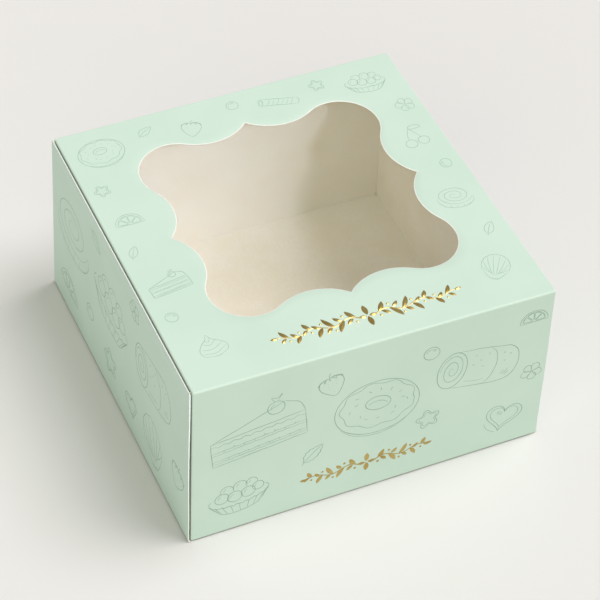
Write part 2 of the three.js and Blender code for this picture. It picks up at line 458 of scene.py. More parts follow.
class Face(Enum):
    """An outer face of the carton, with the directions that are right, up and out on it."""

    LID = ((1, 0, 0), (0, 1, 0), (0, 0, 1))
    FRONT = ((1, 0, 0), (0, 0, 1), (0, -1, 0))
    LEFT = ((0, -1, 0), (0, 0, 1), (-1, 0, 0))
    RIGHT = ((0, 1, 0), (0, 0, 1), (1, 0, 0))
    BACK = ((-1, 0, 0), (0, 0, 1), (0, 1, 0))

    def place(self, flat: Array, proud: Array, board: Board) -> Array:
        """Points on the face.

        Args:
            flat: places (n, 2) to the right and up on the face, in mm.
            proud: how far each lies over it.
            board: the board whose outer planes the faces are.

        Returns:
            The points (n, 3).
        """
        right, up, out = (np.array(d, float) for d in self.value)
        reach = abs(out) @ np.array([board.side, board.back, board.height])
        return flat[:, :1] * right + flat[:, 1:] * up + (reach + proud[:, None]) * out


def link(obj: Object) -> Object:
    """Puts an object into the scene and returns it."""
    bpy.context.scene.collection.objects.link(obj)
    return obj


@dataclass
class BoardSheet:
    """One folded sheet, gathered as grids of its outer face, then welded and thickened."""

    name: str
    warp: Warp
    thickness: float
    points: list[Array] = field(default_factory=list)
    faces: list[Array] = field(default_factory=list)
    creases: list[Array] = field(default_factory=list)
    kinds: list[int] = field(default_factory=list)
    count: int = 0
    weld: float = 0.004
    hard_deg: float = 40.0

    def add(self, x: Array | float, y: Array | float, z: Array | float, outward: Point,
            crease: Array | float = 0.0, closed: bool = False, material: int = 0) -> None:
        """Adds a grid of points; x, y, z and crease are broadcast against each other.

        Args:
            x, y, z: the grid's places in mm, rows by columns.
            outward: roughly the way that the printed face looks.
            crease: 1 where the board is bent sharply, 0 where it is flat.
            closed: whether the last row joins the first.
            material: the number of its outer face's material.
        """
        grid = np.stack(np.broadcast_arrays(x, y, z, crease), axis=-1).astype(float)
        flat = grid.reshape(-1, 4)
        index = np.arange(len(flat)).reshape(grid.shape[:2])
        if closed:
            index = np.vstack([index, index[:1]])
        quads = np.stack([index[:-1, :-1], index[1:, :-1], index[1:, 1:], index[:-1, 1:]], -1).reshape(-1, 4)
        corner = flat[quads, :3]
        normal = np.cross(corner[:, 2] - corner[:, 0], corner[:, 3] - corner[:, 1]).sum(axis=0)
        self.faces.append((quads if normal @ np.array(outward, float) >= 0 else quads[:, ::-1]) + self.count)
        self.points.append(flat[:, :3])
        self.creases.append(flat[:, 3])
        self.kinds += [material] * len(quads)
        self.count += len(flat)

    def build(self, materials: Sequence[Material]) -> Object:
        """Welds the grids, thickens the sheet inwards, and keeps edges sharper than hard_deg hard.

        Args:
            materials: the printed face, the bare face, the cut edge and the window's edge.

        Returns:
            The object, with its modifier applied.
        """
        mesh = bpy.data.meshes.new(self.name)
        places = self.warp.move(np.concatenate(self.points)) * MM
        mesh.from_pydata(places, [], np.concatenate(self.faces).tolist())
        mesh.polygons.foreach_set("material_index", self.kinds)
        crease = mesh.attributes.new("crease", "FLOAT", "POINT")
        crease.data.foreach_set("value", np.concatenate(self.creases).astype(np.float32))
        work = bmesh.new()
        work.from_mesh(mesh)
        bmesh.ops.remove_doubles(work, verts=work.verts, dist=self.weld * MM)
        work.to_mesh(mesh)
        work.free()
        for material in materials:
            mesh.materials.append(material)
        obj = link(bpy.data.objects.new(self.name, mesh))
        solid = obj.modifiers.new("board", "SOLIDIFY")
        solid.thickness, solid.offset, solid.use_even_offset = self.thickness * MM, -1.0, True
        solid.material_offset, solid.material_offset_rim = 1, 2
        view = bpy.context.evaluated_depsgraph_get()
        thick = bpy.data.meshes.new_from_object(obj.evaluated_get(view))
        obj.modifiers.clear()
        obj.data = thick
        thick.shade_smooth()
        thick.set_sharp_from_angle(angle=math.radians(self.hard_deg))
        return obj


@dataclass
class Tray:
    """The fixed part of the sheet: bottom, back, sides, and a front wall glued by its tabs."""

    warp: Warp
    shoulder: float = 0.8  # how far the left wall's raw top edge is cut down at the hinge
    tops: Pair = (86.0, 84.4)  # the left wall ends flush with the lid, the right under its bead
    lead_spacing: float = 0.6
    front_wall: float = -80.7
    front_wall_top: float = 80.0
    front_wall_fold: float = 77.25
    tab_bottom: float = 1.0
    tab_top: float = 54.0
    tab_path: tuple[Pair, ...] = ((78.1, -67.45), (79.48, -64.95), (79.48, -53.0))
    tab_steps: int = 4

    def build(self, materials: Sequence[Material]) -> Object:
        """Makes the sheet: panels and creases as products of places along x, y and z.

        Args:
            materials: the four that BoardSheet.build takes.

        Returns:
            The tray.
        """
        box, r = self.warp.board, self.warp.board.fold
        s, c, bend = box.crease()
        sheet = BoardSheet("tray_sheet", self.warp, box.thickness)
        fold_x, floor_front, floor_back = self.front_wall_fold, self.front_wall + r, box.back - r
        inner_x = stations(-fold_x, fold_x, box.spacing, box.support)
        left_x, right_x = (stations(fold_x, box.side - r, box.spacing, 0, (edge,)) for edge in box.lid_edges)
        ys = stations(floor_front, floor_back, box.spacing, box.support, [y for _, y in self.tab_path])
        back_z = stations(r, box.hinge_line, box.spacing, box.support)
        front_z = stations(r, self.front_wall_top, box.spacing, 0, (self.tab_bottom, self.tab_top))
        all_x = np.concatenate([-left_x[::-1], inner_x[1:-1], right_x])[:, None]
        sheet.add(all_x, ys, 0, (0, 0, -1))
        sheet.add(all_x, floor_back + s, r - c, (0, 1, -1), bend)
        sheet.add(all_x, box.back, back_z, (0, 1, 0))
        sheet.add(inner_x[:, None], floor_front - s, r - c, (0, -1, -1), bend)
        sheet.add(inner_x[:, None], self.front_wall, front_z, (0, -1, 0))
        end_x = np.array([[fold_x], [self.tab_path[0][0]]])
        for side, way in enumerate((-1, 1)):
            self._side(sheet, side, way, ys, back_z)
            sheet.add(way * end_x, self.front_wall, front_z[front_z >= self.tab_top], (0, -1, 0))
            self._tab(sheet, way, front_z)
        return sheet.build(materials)

    def _side(self, sheet: BoardSheet, side: int, way: int, ys: Array, back_z: Array) -> None:
        """A side wall with its bottom crease, back corner, and the rounded point where the three meet.

        The corner's crease is a quarter circle in plan carried up z; the point is an eighth of a
        ball, its radius that of the creases; the raw top edge falls evenly towards the back wall.
        The left wall reaches the front flap's plane; the right one ends behind the flap's crease.

        Args:
            sheet: the sheet to add it to.
            side, way: 0 and -1 for the left, 1 and 1 for the right.
            ys, back_z: the rows of the floor along y and of the back wall along z.
        """
        box, r = self.warp.board, self.warp.board.fold
        s, c, bend = box.crease()
        floor_x, floor_back = box.side - r, box.back - r
        wall_z = np.concatenate([back_z[:-1], stations(box.hinge_line, self.tops[side], 1.0)])
        wall_y = ys if side else np.concatenate([stations(box.front, ys[0], self.lead_spacing)[:-1], ys])
        fall = (0 if side else self.shoulder) * ramp(wall_z, box.hinge_line, box.height - box.hinge_line)
        sheet.add(way * box.side, wall_y[:, None], wall_z, (way, 0, 0))
        sheet.add(way * (floor_x + s), wall_y[:, None], r - c, (way, 0, -1), bend)
        sheet.add(way * (floor_x + c[:, None]), floor_back + s[:, None],
                  wall_z - fall * (s[:, None] / r) ** 2, (way, 1, 0), bend[:, None])
        sheet.add(way * (floor_x + np.outer(c, s) / r), floor_back + np.outer(s, s) / r, r - c,
                  (way, 1, -1), bend)
        strip = np.array([[box.lid_edges[side]], [floor_x]])
        sheet.add(way * strip, box.back, (wall_z - fall)[len(back_z) - 1 :], (0, 1, 0))

    def _tab(self, sheet: BoardSheet, way: int, front_z: Array) -> None:
        """A glue tab: round its crease, straight back, then out to the side wall's inner face.

        Args:
            sheet: the sheet to add it to.
            way: -1 for the left, 1 for the right.
            front_z: the front wall's rows along z.
        """
        s, c, bend = self.warp.board.crease()
        rows = front_z[(front_z >= self.tab_bottom) & (front_z <= self.tab_top)]
        bend_x, bend_y = self.front_wall_fold + s, self.front_wall + c[0] - c
        sheet.add(way * bend_x[:, None], bend_y[:, None], rows, (way, -1, 0), bend[:, None])
        path = np.array([(self.tab_path[0][0], bend_y[-1]), *self.tab_path])
        steps = np.linspace(0, len(path) - 1, self.tab_steps * (len(path) - 1) + 1)
        x, y = (np.interp(steps, np.arange(len(path)), line)[:, None] for line in path.T)
        sheet.add(way * x, y, rows, (way, 0, 0))


@dataclass
class Lid:
    """The top panel with its window, its tucked side flaps, and the crease that joins the back wall."""

    warp: Warp
    lobe_centre: float = 38.2
    lobe_radius: float = 16.8
    bulge_radius: float = 23.9
    point: float = 56.1
    eighth_steps: int = 26
    ring_shares: tuple[float, ...] = (*np.linspace(0, 0.97, 8), 0.994, 1.0)
    lip_wide: float = 0.4  # the window's torn white edge, pressed down by the die
    lip_drop: float = 0.2
    tuck_bottom: float = 61.0
    tuck_ends: Pair = (-58.6, 68.2)

    def window_outline(self) -> Array:
        """The window's edge, counter-clockwise from the point on +X.

        An eighth is an arc of an inward bulge, from the point to where it touches the lobe, and then
        an arc of the lobe to the diagonal. The rest is that eighth mirrored and turned.

        Returns:
            The points (8 * eighth_steps, 2) in mm.
        """
        a, r, big, tip = self.lobe_centre, self.lobe_radius, self.bulge_radius, self.point
        gap = math.hypot(a - tip, a)
        along = (big**2 - (big + r) ** 2 + gap**2) / (2 * gap)
        aside = math.sqrt(big**2 - along**2)
        far = tip + (along * (a - tip) + aside * a) / gap
        near = (along * a - aside * (a - tip)) / gap
        meet = math.atan2(a - near, a - far)
        start = math.atan2(-near, tip - far) % (2 * math.pi)
        lengths = big * abs(start - meet), r * abs(meet - 1.25 * math.pi)
        steps = round(self.eighth_steps * lengths[0] / sum(lengths))
        t = np.linspace(start, meet, steps + 1)[:-1]
        bulge = np.stack([far + big * np.cos(t), near + big * np.sin(t)], axis=1)
        t = np.linspace(meet - math.pi, math.pi / 4, self.eighth_steps - steps + 1)
        lobe = np.stack([a + r * np.cos(t), a + r * np.sin(t)], axis=1)
        eighth = np.concatenate([bulge, lobe])
        fourth = np.concatenate([eighth, eighth[-2:0:-1, ::-1]])
        turns = [fourth @ np.array([(c, s), (-s, c)]) for c, s in ((1, 0), (0, 1), (-1, 0), (0, -1))]
        return np.concatenate(turns) + np.array(self.warp.board.window)

    def panel_outline(self) -> Array:
        """The panel's creased border in step with the window's edge, an eighth at a time."""
        box = self.warp.board
        (left, right), (cx, cy), top, foot = box.lid_edges, box.window, box.back - box.fold, box.flap_line
        marks = np.array([(right, cy), (right, top), (cx, top), (-left, top),
                          (-left, cy), (-left, foot), (cx, foot), (right, foot)])
        share = np.linspace(0, 1, self.eighth_steps, endpoint=False)[:, None]
        return np.concatenate([a + share * (b - a) for a, b in zip(marks, np.roll(marks, -1, axis=0))])

    def border(self) -> tuple[Array, Array]:
        """Places along the panel's border: x from left to right and y from front to back."""
        n, line = self.eighth_steps, self.panel_outline()
        return line[n : 3 * n + 1, 0][::-1], line[np.r_[7 * n : 8 * n, 0 : n + 1], 1]

    def build(self, materials: Sequence[Material]) -> Object:
        """The panel is a ring blended from the window's edge to the border; creases are quarter rounds.

        Args:
            materials: the four that BoardSheet.build takes.

        Returns:
            The lid.
        """
        box = self.warp.board
        s, c, bend = box.crease()
        sheet = BoardSheet("lid_sheet", self.warp, box.thickness)
        level, top = box.height - box.fold, box.back - box.fold
        share = np.array(self.ring_shares)[:, None]
        cut, outer = self.window_outline(), self.panel_outline()
        along = np.roll(cut, -1, axis=0) - np.roll(cut, 1, axis=0)
        aside = np.stack([along[:, 1], -along[:, 0]], axis=1) / np.linalg.norm(along, axis=1, keepdims=True)
        inner = cut + self.lip_wide * aside
        lip = np.stack([cut, inner], axis=1)
        sheet.add(lip[..., 0], lip[..., 1], box.height - np.array([self.lip_drop, 0.0]), (0, 0, 1),
                  closed=True, material=3)
        ring = inner[:, None] + share * (outer - inner)[:, None]
        sheet.add(ring[..., 0], ring[..., 1], box.height, (0, 0, 1), closed=True)
        xs, ys = self.border()
        sheet.add(xs[:, None], top + s, level + c, (0, 1, 1), bend)
        sheet.add(xs[:, None], box.back, np.array([level, level - box.support, box.hinge_line]), (0, 1, 0))
        fall = stations(self.tuck_bottom, level, box.spacing, box.support, level - np.array(box.near_crease))
        slant = (level - fall) / (level - self.tuck_bottom)
        start, stop = (end + (tuck - end) * slant for end, tuck in zip((ys[0], ys[-1]), self.tuck_ends))
        share = ((ys - ys[0]) / (ys[-1] - ys[0]))[:, None]
        for side, way in enumerate((-1, 1)):
            edge = box.lid_edges[side]
            sheet.add(way * (edge + s), ys[:, None], level + c, (way, 0, 1), box.side_crease_pale * bend)
            sheet.add(way * (edge + np.outer(c, s) / box.fold), top + np.outer(s, s) / box.fold, level + c,
                      (way, 1, 1), bend)
            sheet.add(way * box.tucked(side, level - fall), start + share * (stop - start), fall, (way, 0, 0))
        return sheet.build(materials)


@dataclass
class FrontFlap:
    """The front panel with the crease that joins the lid, and the ears that slide in at the sides."""

    warp: Warp
    bottom: float = 0.4
    ear_end: float = -67.5
    ear_root: float = 5.0
    ear_shoulder: float = -79.75  # the ear is full height as far as this, then slants to its tip
    ear_tip: Pair = (13.4, 69.8)
    ear_spacing: float = 2.5

    def build(self, xs: Array, materials: Sequence[Material]) -> Object:
        """The panel carried across x, its creases quarter rounds, each ear a slanted four-sided grid.

        Args:
            xs: the places along the lid's front border, so that the two sheets meet point to point.
            materials: the four that BoardSheet.build takes.

        Returns:
            The front flap.
        """
        box = self.warp.board
        s, c, bend = box.crease()
        sheet = BoardSheet("front_flap_sheet", self.warp, box.thickness)
        level, fold_y = box.height - box.fold, box.front + box.fold
        lead = np.array([box.flap_line, fold_y + box.support, fold_y])
        zs = stations(self.bottom, level, box.spacing, box.support, (self.ear_root,))
        sheet.add(xs[:, None], lead, box.height, (0, 0, 1))
        sheet.add(xs[:, None], fold_y - s, level + c, (0, -1, 1), bend)
        sheet.add(xs[:, None], box.front, zs, (0, -1, 0))
        rows = zs[zs >= self.ear_root]
        share = (rows - rows[0]) / (rows[-1] - rows[0])
        also = (*(fold_y + near for near in box.near_crease), self.ear_shoulder)
        run = stations(fold_y, self.ear_end, self.ear_spacing, box.support, also)[:, None]
        low = np.interp(run, (fold_y, self.ear_end), (self.ear_root, self.ear_tip[0]))
        high = np.interp(run, (self.ear_shoulder, self.ear_end), (level, self.ear_tip[1]))
        for side, way in enumerate((-1, 1)):
            edge = box.lid_edges[side]
            sheet.add(way * (edge + s), lead[:, None], level + c, (way, 0, 1), box.side_crease_pale * bend)
            sheet.add(way * (edge + np.outer(c, s) / box.fold), fold_y - np.outer(s, s) / box.fold, level + c,
                      (way, -1, 1), bend)
            sheet.add(way * (edge + s[:, None]), fold_y - c[:, None], zs, (way, -1, 0),
                      box.side_crease_pale * bend[:, None])
            sheet.add(way * box.tucked(side, run - fold_y), run, low + share * (high - low), (way, 0, 0))
        return sheet.build(materials)


@dataclass
class WindowFilm:
    """The clear sheet glued under the lid round the window."""

    warp: Warp
    reach: float = 62.0
    top: float = 85.2
    thickness: float = 0.2
    steps: int = 62
    wave: float = 0.05
    wave_length: float = 47.0
    wave_slant: float = 0.6
    free_middle: float = 1.15  # the slack is whole where this, less the place over free_reach, tops 1
    free_reach: float = 55.0

    def build(self, material: Material) -> Object:
        """A square grid, slack by a slow product of sines that dies out at the glued border.

        Args:
            material: the film's.

        Returns:
            The film.
        """
        sheet = BoardSheet("window_film_sheet", self.warp, self.thickness)
        u = np.linspace(-self.reach, self.reach, self.steps + 1)
        free = np.clip(self.free_middle - np.abs(u) / self.free_reach, 0, 1)
        ripple = np.sin(2 * math.pi * (u[:, None] + self.wave_slant * u) / self.wave_length)
        slack = self.wave * np.outer(free, free) * (ripple - 1)
        x, y = self.warp.board.window
        sheet.add(x + u[:, None], y + u, self.top + slack, (0, 0, 1))
        return sheet.build([material] * 3)


# The print: sweets drawn in strokes. Each is drawn round its middle, in hundredths of half its width


def turned(degrees: float) -> Array:
    """The matrix that turns rows of points counter-clockwise."""
    c, s = math.cos(math.radians(degrees)), math.sin(math.radians(degrees))
    return np.array([(c, s), (-s, c)])


def oval(cx: float, cy: float, rx: float, ry: float, start: float = 0.0, stop: float = 360.0) -> Array:
    """Points on an oval or on a part of it, from start to stop in degrees, at most 6 degrees apart."""
    turn = np.radians(np.linspace(start, stop, max(8, int(abs(stop - start) / 6)) + 1))
    return np.stack([cx + rx * np.cos(turn), cy + ry * np.sin(turn)], axis=1)


def smooth(xy: Sequence[float], closed: bool = False, steps: int = 9) -> Array:
    """A Catmull-Rom curve: each span is a cubic whose ends lean along their neighbours.

    Args:
        xy: the places it passes through, as x, y, x, y and so on.
        closed: whether the last place joins the first.
        steps: how many points a span gets.

    Returns:
        The curve's points (n, 2).
    """
    p = np.reshape(np.array(xy, float), (-1, 2))
    p = np.vstack([p[-1:], p, p[:2]]) if closed else np.vstack([2 * p[0] - p[1], p, 2 * p[-1] - p[-2]])
    t = np.linspace(0, 1, steps, endpoint=False)[:, None]
    a, b, c, d = (p[i : len(p) - 3 + i, None] for i in range(4))
    curve = 2 * b + (c - a) * t + (2 * a - 5 * b + 4 * c - d) * t**2 + (3 * b - a - 3 * c + d) * t**3
    curve = 0.5 * curve.reshape(-1, 2)
    return curve if closed else np.vstack([curve, p[-2]])


def wavy(line: Array, height: float, waves: float) -> Array:
    """A line rippled sideways by a sine of a height, with a number of waves over its length."""
    along = np.gradient(line, axis=0)
    along /= np.linalg.norm(along, axis=1, keepdims=True) + 1e-12
    phase = np.linspace(0, 2 * math.pi * waves, len(line))
    return line + np.stack([-along[:, 1], along[:, 0]], axis=1) * (height * np.sin(phase))[:, None]


@dataclass
class Sketch:
    """A drawing: strokes of points, with a weight (1 for an outline, less if finer) and whether closed."""

    strokes: list[tuple[Array, float, bool]] = field(default_factory=list)

    def draw(self, line: Iterable[Iterable[float]], weight: float = 1.0, closed: bool = False) -> Sketch:
        """Adds a stroke through points (n, 2) and returns the sketch, as all of these do."""
        self.strokes.append((np.array(line, float), weight, closed))
        return self

    def curve(self, weight: float, *xy: float, closed: bool = False) -> Sketch:
        """Adds a smooth stroke through the places x, y, x, y and so on."""
        return self.draw(smooth(xy, closed), weight, closed)

    def ring(self, cx: float, cy: float, rx: float, ry: float, weight: float = 1.0) -> Sketch:
        """Adds a whole oval."""
        return self.draw(oval(cx, cy, rx, ry)[:-1], weight, True)

    def arc(self, weight: float, *size: float) -> Sketch:
        """Adds a part of an oval: centre, radii, and the two angles in degrees."""
        return self.draw(oval(*size), weight)

    def dots(self, places: Iterable[Iterable[float]], radius: float) -> Sketch:
        """Adds small round marks, such as seeds or crumbs."""
        for x, y in places:
            self.arc(0.6, x, y, radius, radius, 0, 300)
        return self

    def hatch(self, cx: float, cy: float, lean: float, length: float, gap: float = 0.0, count: int = 1,
              weight: float = 0.5) -> Sketch:
        """Adds parallel strokes round a middle, the outer ones shorter.

        Args:
            cx, cy: the middle.
            lean: the strokes' angle in degrees.
            length: that of the middle stroke.
            gap: how far apart they are.
            count: how many there are.
            weight: how heavy they are.

        Returns:
            The sketch.
        """
        way, side = turned(lean)
        for i in range(count):
            off = i - (count - 1) / 2
            reach = 0.5 * length * (1 - 0.5 * abs(off) / max(count / 2, 1))
            middle = (cx, cy) + side * off * gap + way * 0.12 * length * math.sin(2.1 * i)
            self.draw(middle + np.linspace(-reach, reach, 5)[:, None] * way, weight)
        return self


def doughnut() -> Sketch:
    """A glazed ring seen at a slant, with sprinkles."""
    made = Sketch().ring(0, 0, 100, 80).draw(wavy(oval(0, 7, 88, 66)[:-1], 3.5, 9), 0.7, True)
    made.ring(0, 12, 30, 20).arc(0.6, 0, 2, 25, 16, 25, 155).arc(0.6, 0, -6, 96, 80, 215, 325)
    for i, turn in enumerate(range(10, 370, 27)):
        x, y = oval(0, 9, 60 + 10 * math.sin(3 * i), 44, turn, turn + 1)[0]
        made.hatch(x, y, 37 * i % 180, 10, weight=0.7)
    return made


def cake_slice() -> Sketch:
    """A wedge of layer cake with a berry."""
    tip, left, right, deep = np.array([(-95, 2), (55, 52), (92, 10), (0, -62)])
    made = Sketch().draw([tip, left]).curve(1, *left, 82, 36, *right)
    for line in ((tip, right), (tip, tip + deep), (tip + deep, right + deep), (right, right + deep)):
        made.draw(line)
    for share, weight in ((0.16, 0.8), (0.42, 0.6), (0.52, 0.6), (0.78, 0.6), (0.88, 0.6)):
        layer = np.linspace(tip + share * deep, right + share * deep, 40)
        made.draw(wavy(layer, 2.2 if share < 0.2 else 0.8, 9), weight)
    for x in np.linspace(-70, 70, 8):
        made.dots([(x, 0.055 * x - 20 + 3 * math.sin(0.09 * x)), (x + 8, 0.05 * x - 43)], 1.5)
    made.ring(36, 42, 17, 16).arc(0.5, 36, 42, 10, 10, 100, 190)
    return made.curve(0.7, 36, 57, 28, 70, 40, 66, 50, 74, 40, 58)


def madeleine() -> Sketch:
    """A shell-shaped cake with its ribs."""
    fan = oval(0, 10, 72, 82, -35, 215)
    scallop = 0.045 * np.abs(np.sin(np.linspace(0, 9 * math.pi, len(fan))))[:, None]
    made = Sketch().draw(fan + scallop * (fan - (0, 10)))
    made.curve(1, *fan[0], 42, -62, 20, -86, 0, -90, -20, -86, -42, -62, *fan[-1])
    for i, turn in enumerate(np.linspace(-15, 195, 8)):
        end, out = oval(0, 10, 68, 78, turn, turn + 1)[0], math.cos(math.radians(turn))
        root = np.array([16 * out, -70 + 6 * abs(3.5 - i)])
        made.curve(0.65, *root, *(0.5 * (end + root) + (5 * out, 0)), *end)
    return made.arc(0.5, 0, -74, 20, 10, 200, 340)


def tartlet() -> Sketch:
    """A fluted pastry shell heaped with berries."""
    rim, base = oval(0, 0, 95, 34, 180, 360), oval(0, -42, 68, 24, 180, 360)
    made = Sketch().draw(wavy(rim, 3, 11)).draw(base)
    made.arc(0.9, 0, 0, 95, 34, 0, 28).arc(0.9, 0, 0, 95, 34, 152, 180)
    made.draw([rim[0], base[0]]).draw([rim[-1], base[-1]])
    for i in range(3, len(rim) - 2, 3):
        made.draw(np.linspace(rim[i], base[i], 6) + (0, 1), 0.6)
    for x, y, r in ((-52, 12, 22), (-12, 4, 23), (30, 5, 22), (62, 16, 18)):
        made.ring(x, y, r, r * 0.95, 0.9).arc(0.5, x, y, r * 0.55, r * 0.5, 95, 190)
    for x, y, r in ((-34, 38, 20), (8, 40, 22), (44, 40, 18)):
        made.arc(0.9, x, y, r, r, -25, 205).arc(0.5, x, y, r * 0.5, r * 0.5, 95, 180)
    return made


def heart_biscuit() -> Sketch:
    """An iced heart with a dotted border."""
    t = np.linspace(0, 2 * math.pi, 72, endpoint=False)
    tall = (13 * np.cos(t) - 5 * np.cos(2 * t) - 2 * np.cos(3 * t) - np.cos(4 * t)) / 16
    heart = 100 * np.stack([np.sin(t) ** 3, tall], axis=1)
    made = Sketch().draw(heart * 0.95, 1, True).draw(heart * 0.74 + (0, 2), 0.7, True)
    return made.dots(heart[4::6] * 0.84, 2.2).hatch(-25, 20, 50, 28, 9, 4).arc(0.5, 0, -8, 98, 95, 200, 262)


def star_biscuit() -> Sketch:
    """A soft five-pointed star with sugar on it."""
    t = np.linspace(0, 2 * math.pi, 90, endpoint=False)
    radius = 74 * (1 + 0.24 * np.cos(5 * (t - math.pi / 2)))
    star = radius[:, None] * np.stack([np.cos(t), np.sin(t)], axis=1)
    made = Sketch().draw(star, 1, True).draw(star * 0.76, 0.6, True).draw(star[48:70] * 1.07, 0.5)
    return made.dots([(10, 20), (-20, 10), (2, -15), (26, -5), (-12, -34), (0, 42)], 2.5)


def mint_leaf() -> Sketch:
    """A notched leaf with its midrib and side veins."""
    made = Sketch()
    for side in ((-45, 34, 10, 44, 60, 26), (-40, -40, 12, -44, 62, -22)):
        made.draw(wavy(smooth((-86, -8, *side, 98, 2)), 3, 6))
    made.curve(0.8, -108, -20, -80, -8, 0, 2, 86, 2)
    for x in (-50, -15, 20, 50):
        for way in (-1, 1):
            made.curve(0.5, x, 0, x + 14, 14 * way, x + 22, 30 * way * (1 - 0.005 * x))
    return made


def currant() -> Sketch:
    """A single round berry with its dry crown."""
    made = Sketch().ring(0, 0, 90, 86).arc(0.6, 0, 0, 60, 56, 110, 200)
    for turn in (-38, -12, 14, 40):
        made.draw(oval(10, 48, 20, 46, 90 - turn, 118 - turn)[:4], 0.7)
    return made.ring(10, 48, 20, 12, 0.8)


def blossom() -> Sketch:
    """A five-petalled flower."""
    petal = smooth((14, 6, 42, 36, 80, 34, 100, 0, 80, -34, 42, -36, 14, -6))
    made = Sketch().ring(0, 0, 12, 12, 0.7)
    for i in range(5):
        way = turned(72 * i + 18 + 5 * math.sin(3 * i))
        made.draw(petal * (1 - 0.06 * (i % 2), 1) @ way, 0.85).draw(smooth((30, 0, 50, 3, 66, 0)) @ way, 0.5)
    return made


def lemon_slice() -> Sketch:
    """Half a slice: rind, pith and four segments with rounded corners."""
    made = Sketch().arc(1, 0, -40, 98, 98, 0, 180).arc(0.6, 0, -40, 84, 84, 3, 177)
    made.draw([(-98, -40), (98, -40)])
    for turn in (24, 68, 112, 156):
        wedge = smooth((14, 0, 40, 13, 70, 22, 76, 0, 70, -22, 40, -13), True) @ turned(turn)
        made.draw(wedge - (0, 36), 0.7, True)
    return made


def swiss_roll() -> Sketch:
    """A rolled sponge lying on its side, its wound end at the left and a slice half cut off."""
    t = np.linspace(0.6, 5 * math.pi, 90)
    radius = (t / t[-1]) ** 0.9
    made = Sketch().ring(-60, 0, 33, 50)
    made.draw(np.stack([-60 + 28 * radius * np.cos(t), 44 * radius * np.sin(t)], axis=1), 0.8)
    made.curve(1, -58, 50, -10, 52, 36, 51, 70, 47, 90, 26, 96, -4, 88, -34, 68, -48, 36, -52, -10, -52,
               -58, -50)
    made.curve(0.8, 20, 51, 36, 34, 44, 2, 37, -34, 22, -52).curve(0.5, -24, -36, -2, -39, 22, -37)
    made.dots([(-10, 34), (4, 18), (20, 34), (12, 0), (-12, 6), (56, 30), (62, 6), (72, 24)], 1.8)
    return made.hatch(70, -28, 60, 20, 6, 3)


def cinnamon_roll() -> Sketch:
    """A wound bun seen a little from the front, its side below the coil."""
    t = np.linspace(0.5, 5.9 * math.pi, 120)
    radius = 6 + 86 * (t / t[-1]) ** 0.95
    coil = np.stack([radius * np.cos(t), 0.72 * radius * np.sin(t) + 16], axis=1)
    made = Sketch().draw(coil, 0.9)
    made.curve(1, *coil[-1], 93, -22, 72, -52, 30, -70, -20, -71, -66, -54, -90, -24, -92, 2)
    for i, x in enumerate((-66, -36, -4, 30, 62)):
        made.hatch(x, -56 - 8 * math.cos(0.02 * x), 80 - 0.2 * x, 16 + 4 * (i % 2))
    return made


def finger_biscuit() -> Sketch:
    """A long sponge finger dusted with sugar."""
    made = Sketch().curve(1, -98, 0, -84, 21, -30, 25, 30, 24, 84, 22, 99, 2, 84, -20, 30, -24, -30, -23,
                          -84, -21, closed=True)
    made.curve(0.5, -80, -14, 0, -10, 82, -15)
    made.dots([(-75 + 14 * i, 5 + 7 * math.sin(2.4 * i)) for i in range(11)], 1.6)
    return made.hatch(45, 10, 8, 30, 5, 2)


def strawberry() -> Sketch:
    """A berry with seeds and its leafy crown."""
    made = Sketch().curve(1, 0, -95, -42, -60, -72, -5, -62, 40, -25, 56, 0, 50, 25, 56, 62, 40, 72, -5,
                          42, -60, closed=True)
    for x in (-52, -26, 0, 26, 52):
        made.curve(0.8, x * 0.4, 54, x * 1.1 - 4, 42, x * 1.5, 30 - 0.1 * abs(x), x * 1.1 + 8, 50)
    made.curve(0.9, 0, 54, 4, 72, 16, 86)
    return made.dots([(x + 10 * (row % 2), 12 - 24 * row) for row in range(4)
                      for x in range(-42 + 10 * row, 46 - 10 * row, 24)], 2)


def cherries() -> Sketch:
    """A pair of cherries on their stalks."""
    made = Sketch().ring(-42, -45, 38, 36).ring(44, -55, 36, 35)
    made.curve(0.9, -38, -14, -20, 30, 18, 82).curve(0.9, 44, -26, 40, 20, 18, 82)
    made.curve(0.9, 18, 82, 44, 98, 86, 86, 98, 60, 62, 60, 30, 70, closed=True)
    made.curve(0.55, 20, 82, 55, 78, 92, 64)
    return made.arc(0.5, -42, -45, 24, 22, 110, 190).arc(0.5, 44, -55, 22, 20, 110, 190)


def meringue() -> Sketch:
    """A piped kiss with a drawn-out tip."""
    made = Sketch().curve(1, 6, 95, -10, 60, -50, 30, -78, -10, -70, -50, -30, -70)
    made.curve(1, 6, 95, 20, 55, 52, 28, 80, -12, 70, -50, 30, -70).curve(1, -30, -70, 0, -76, 30, -70)
    for y, wide in ((-38, 72), (-6, 70), (26, 42), (52, 20)):
        made.curve(0.7, -wide, y + 6, -0.1 * wide, y - 14, wide, y + 16)
    return made.hatch(35, -50, 20, 30, 7, 3)


def wafer_roll() -> Sketch:
    """A rolled wafer with a spiral end and slanting stripes."""
    made = Sketch().draw([(-85, 22), (86, 22)]).draw([(-85, -22), (86, -22)]).ring(-85, 0, 11, 22)
    made.arc(1, 86, 0, 10, 22, -90, 90).arc(0.6, -85, 0, 6, 12, 0, 300)
    for x in range(-56, 70, 22):
        made.curve(0.6, x, -21, x + 12, 2, x + 16, 21)
    return made


